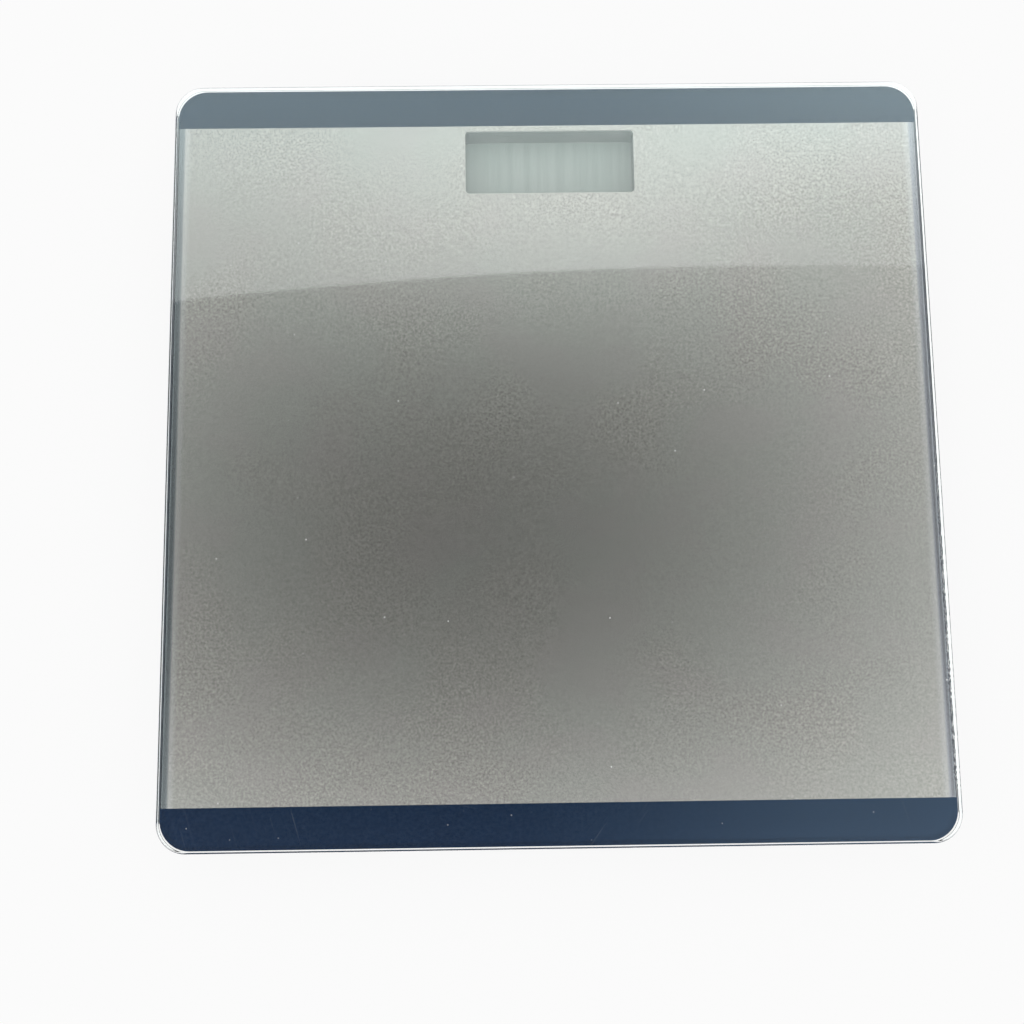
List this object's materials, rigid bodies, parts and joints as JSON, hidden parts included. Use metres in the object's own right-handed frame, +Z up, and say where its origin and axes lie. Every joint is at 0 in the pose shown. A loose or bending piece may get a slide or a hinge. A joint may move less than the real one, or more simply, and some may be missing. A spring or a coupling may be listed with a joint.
{
  "type": "digital bathroom scale",
  "caption": "Square glass-topped digital bathroom scale with a display window, corner load-cell feet, a sprung unit button and a sliding battery cover.",
  "frame": {"origin": "centre of the footprint, on the surface that the feet stand on", "axes": "+Z up out of the glass, +Y towards the display end, +X to the right when the display is read from the front"},
  "size_m": [0.28, 0.28, 0.022],
  "materials": {
    "glass": "polished tempered glass, ground edges",
    "silver_ink": "fine metallic silver screen print",
    "navy_ink": "dark navy screen print",
    "cover_coat": "matt grey cover coat",
    "foam_tape": "white foam tape",
    "white_plastic": "fine-grained moulded white plastic",
    "stamped_steel": "stamped steel",
    "white_resin": "soft white silicone",
    "cap_plastic": "moulded light grey plastic",
    "rubber": "ribbed black rubber",
    "lead_covering": "flat three-core lead",
    "screw_steel": "zinc-plated",
    "lcd_film": "grey-green display film",
    "reflector_film": "pearly reflector",
    "lcd_glass": "thin display glass",
    "ribbon_film": "amber film with grey tracks",
    "board_laminate": "green solder mask",
    "black_resin": "black potting resin",
    "part_cases": "dark component cases",
    "switch_plastic": "black switch body",
    "plunger_plastic": "white switch plunger",
    "button_plastic": "dark grey button",
    "cell_sleeve": "plain printed sleeve",
    "contact_metal": "nickel-plated spring metal"
  },
  "bodies": {
    "platform": {"glass_platform": "glass", "silver_print": "silver_ink", "rear_band": "navy_ink", "front_band": "navy_ink", "cover_coat": "cover_coat", "foot_tape_front_left": "foam_tape", "foot_tape_front_right": "foam_tape", "foot_tape_rear_left": "foam_tape", "foot_tape_rear_right": "foam_tape", "foot_housing_front_left": "white_plastic", "foot_housing_front_right": "white_plastic", "foot_housing_rear_left": "white_plastic", "foot_housing_rear_right": "white_plastic", "load_cell_front_left": "stamped_steel", "load_cell_front_right": "stamped_steel", "load_cell_rear_left": "stamped_steel", "load_cell_rear_right": "stamped_steel", "gauge_resin_front_left": "white_resin", "gauge_resin_front_right": "white_resin", "gauge_resin_rear_left": "white_resin", "gauge_resin_rear_right": "white_resin", "lead_front_left": "lead_covering", "lead_front_right": "lead_covering", "lead_rear_left": "lead_covering", "lead_rear_right": "lead_covering", "lead_clips": "white_plastic", "case_tape": "foam_tape", "upper_case": "white_plastic", "lower_cover": "white_plastic", "cover_screws": "screw_steel", "lcd_holder": "white_plastic", "rear_reflector": "reflector_film", "lcd_rear_glass": "lcd_glass", "lcd_front_glass": "lcd_glass", "front_polariser": "lcd_film", "lcd_ribbon": "ribbon_film", "circuit_board": "board_laminate", "board_screws": "screw_steel", "controller_chip": "black_resin", "board_parts": "part_cases", "unit_switch": "switch_plastic", "battery_cell_front": "cell_sleeve", "battery_cell_rear": "cell_sleeve", "cell_springs": "contact_metal", "positive_contact": "contact_metal", "negative_contact": "contact_metal", "bridge_contact": "contact_metal"},
    "foot_front_left": {"foot_cap_front_left": "cap_plastic", "foot_pad_front_left": "rubber"},
    "foot_front_right": {"foot_cap_front_right": "cap_plastic", "foot_pad_front_right": "rubber"},
    "foot_rear_left": {"foot_cap_rear_left": "cap_plastic", "foot_pad_rear_left": "rubber"},
    "foot_rear_right": {"foot_cap_rear_right": "cap_plastic", "foot_pad_rear_right": "rubber"},
    "unit_button": {"unit_button": "button_plastic", "switch_plunger": "plunger_plastic"},
    "battery_cover": {"battery_cover": "white_plastic"}
  },
  "joints": [
    {"name": "foot_front_left_press", "type": "slide", "parent": "platform", "child": "foot_front_left", "axis": [0, 0, 1], "range_m": [0, 0.0003], "stiffness_N_per_m": 5000, "springref_m": -0.002},
    {"name": "foot_front_right_press", "type": "slide", "parent": "platform", "child": "foot_front_right", "axis": [0, 0, 1], "range_m": [0, 0.0003], "stiffness_N_per_m": 5000, "springref_m": -0.002},
    {"name": "foot_rear_left_press", "type": "slide", "parent": "platform", "child": "foot_rear_left", "axis": [0, 0, 1], "range_m": [0, 0.0003], "stiffness_N_per_m": 5000, "springref_m": -0.002},
    {"name": "foot_rear_right_press", "type": "slide", "parent": "platform", "child": "foot_rear_right", "axis": [0, 0, 1], "range_m": [0, 0.0003], "stiffness_N_per_m": 5000, "springref_m": -0.002},
    {"name": "unit_button_press", "type": "slide", "parent": "platform", "child": "unit_button", "axis": [0, 0, 1], "range_m": [0, 0.0005], "stiffness_N_per_m": 800, "springref_m": -0.001},
    {"name": "battery_cover_slide", "type": "slide", "parent": "platform", "child": "battery_cover", "axis": [0, -1, 0], "range_m": [0, 0.012]}
  ]
}
